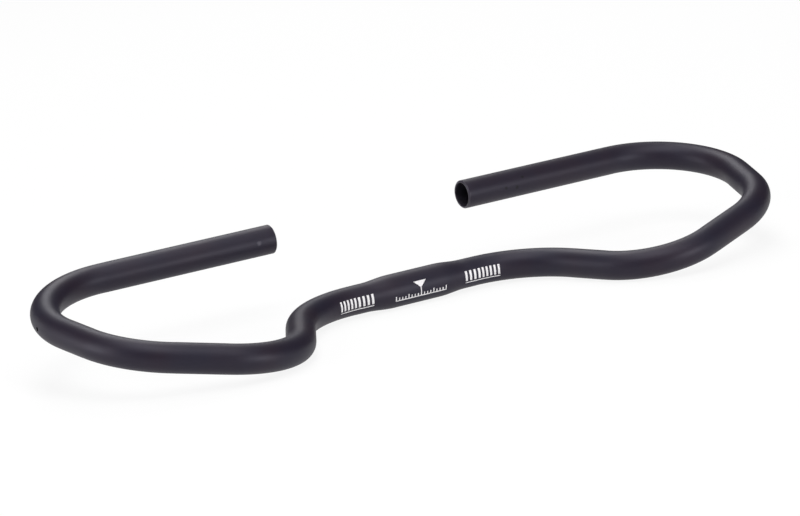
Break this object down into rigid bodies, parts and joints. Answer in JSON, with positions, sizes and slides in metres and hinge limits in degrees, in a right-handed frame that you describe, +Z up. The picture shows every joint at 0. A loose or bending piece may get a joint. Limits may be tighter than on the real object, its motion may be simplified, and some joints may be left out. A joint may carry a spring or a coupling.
{
  "type": "trekking handlebar",
  "caption": "Butterfly-shaped trekking handlebar: one bent aluminium tube with a swelled clamp middle, two forward loops and open grip ends that face each other.",
  "frame": {"origin": "on the axis of the clamp middle, at the middle of the bar's width", "axes": "X along the clamp and the bar's width, -Y towards the closed front of the loops, +Y towards the grips, +Z up out of the plane that the bar lies on"},
  "size_m": [0.606, 0.1871, 0.0688],
  "materials": {
    "anodised_tube": "bead-blasted and anodised satin black"
  },
  "bodies": {
    "root": {"handlebar": "anodised_tube"}
  },
  "joints": []
}
